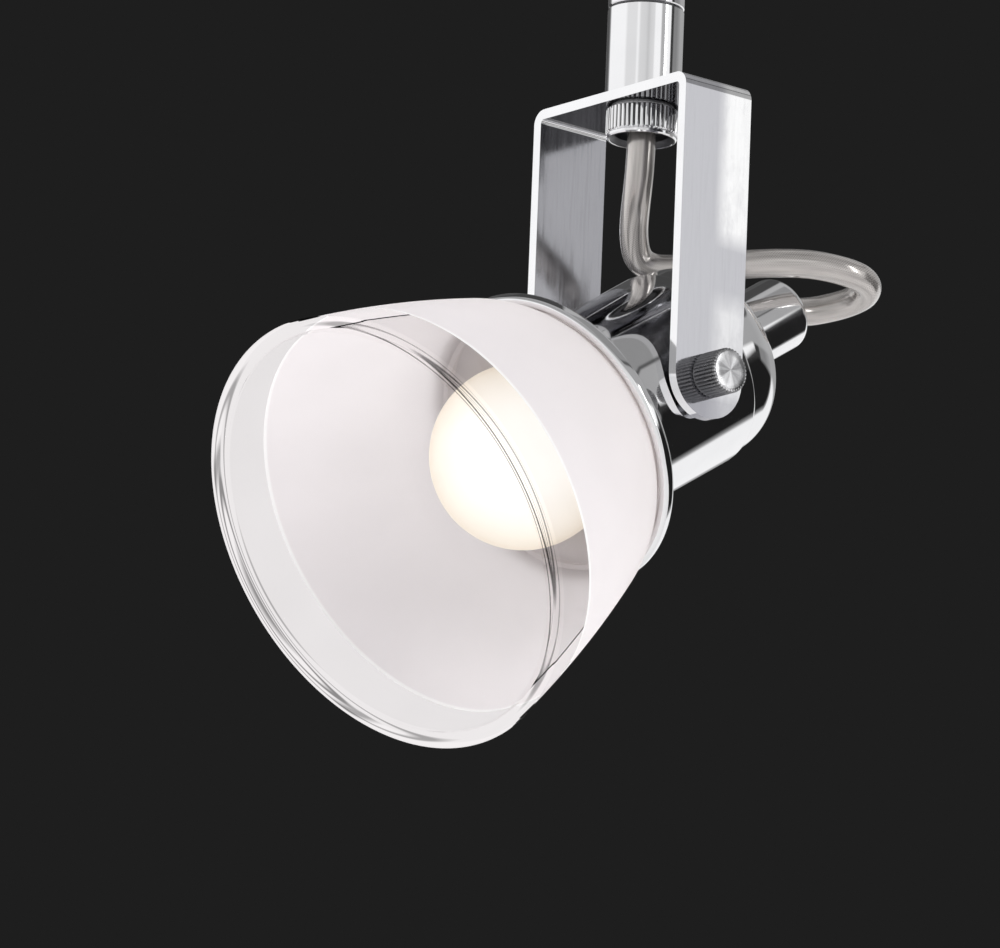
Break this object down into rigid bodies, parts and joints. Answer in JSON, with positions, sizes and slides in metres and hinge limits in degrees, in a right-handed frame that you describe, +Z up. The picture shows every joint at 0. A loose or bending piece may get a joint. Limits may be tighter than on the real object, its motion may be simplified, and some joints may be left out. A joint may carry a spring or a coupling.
{
  "type": "track spotlight",
  "caption": "Spotlight head with a frosted bell glass, tilting on thumb screws in a bent strip yoke that pans under a hollow threaded stem.",
  "frame": {"origin": "centre of the stem's top face, at the mouth of its M10 thread", "axes": "+Z up along the stem, X along the tilt axis, -Y the way the glass looks"},
  "size_m": [0.11, 0.1725, 0.2082],
  "materials": {
    "chrome": "polished chrome plate",
    "satin_steel": "polished and lightly brushed strip",
    "screw_steel": "turned, fine straight knurl",
    "dark_steel": "blackened spring steel",
    "zinc_steel": "zinc plated sheet",
    "brass": "turned brass",
    "fibre": "dark fibre washer",
    "collet": "grey soft collet",
    "phenolic": "ivory moulded lampholder",
    "shade_glass": "frosted glass with a clear band at the mouth",
    "bulb_glass": "warm white frosted bulb glass",
    "mount_glass": "clear glass foot and leads",
    "bulb_metal": "nickel plated screw cap",
    "black_glass": "black insulator",
    "cable_sheath": "clear sheath over a silver-grey core",
    "core_brown": "brown core",
    "core_blue": "blue core",
    "core_green": "green and yellow core"
  },
  "bodies": {
    "mount_stem": {"stem_coupler": "chrome", "swivel_nipple": "brass", "stop_pin": "dark_steel", "swivel_washer": "fibre"},
    "yoke": {"stem_sleeve": "chrome", "yoke_strip": "satin_steel", "spring_washer": "dark_steel", "cable": "cable_sheath"},
    "swivel_nut": {"knurled_nut": "chrome"},
    "head": {"left_friction_washer": "fibre", "right_friction_washer": "fibre", "housing": "chrome", "rear_cap": "chrome", "gland_body": "chrome", "gland_insert": "collet", "gland_locknut": "brass", "holder_bracket": "zinc_steel", "lampholder": "phenolic", "screw_shell": "brass", "centre_contact": "brass", "terminals": "brass", "earth_tag": "zinc_steel", "earth_screw": "brass", "live_wire": "core_brown", "neutral_wire": "core_blue", "earth_wire": "core_green", "shade": "shade_glass"},
    "left_screw": {"left_tilt_screw": "screw_steel"},
    "right_screw": {"right_tilt_screw": "screw_steel"},
    "glass_ring": {"shade_ring": "phenolic"},
    "bulb": {"bulb_globe": "bulb_glass", "filament_mount": "mount_glass", "bulb_cap": "bulb_metal", "bulb_insulator": "black_glass", "bulb_tip": "bulb_metal"}
  },
  "joints": [
    {"name": "pan", "type": "hinge", "parent": "mount_stem", "child": "yoke", "pos_m": [0, 0, -0.0165], "axis": [0, 0, 1], "range_deg": [-165, 165]},
    {"name": "tilt", "type": "hinge", "parent": "yoke", "child": "head", "pos_m": [0, 0, -0.113], "axis": [1, 0, 0], "range_deg": [-50, 30], "deforming": ["cable"]},
    {"name": "swivel_nut_turn", "type": "hinge", "parent": "mount_stem", "child": "swivel_nut", "pos_m": [0, 0, -0.0455], "axis": [0, 0, -1], "range_deg": [0, 180]},
    {"name": "left_screw_turn", "type": "hinge", "parent": "head", "child": "left_screw", "pos_m": [0, 0, -0.113], "axis": [-1, 0, 0], "range_deg": [0, 180]},
    {"name": "right_screw_turn", "type": "hinge", "parent": "head", "child": "right_screw", "pos_m": [0, 0, -0.113], "axis": [1, 0, 0], "range_deg": [0, 180]},
    {"name": "glass_ring_turn", "type": "hinge", "parent": "head", "child": "glass_ring", "pos_m": [0, 0, -0.113], "axis": [0, -0.8387, -0.5446], "range_deg": [0, 720]},
    {"name": "bulb_turn", "type": "hinge", "parent": "head", "child": "bulb", "pos_m": [0, 0, -0.113], "axis": [0, -0.8387, -0.5446], "range_deg": [0, 1440]}
  ]
}
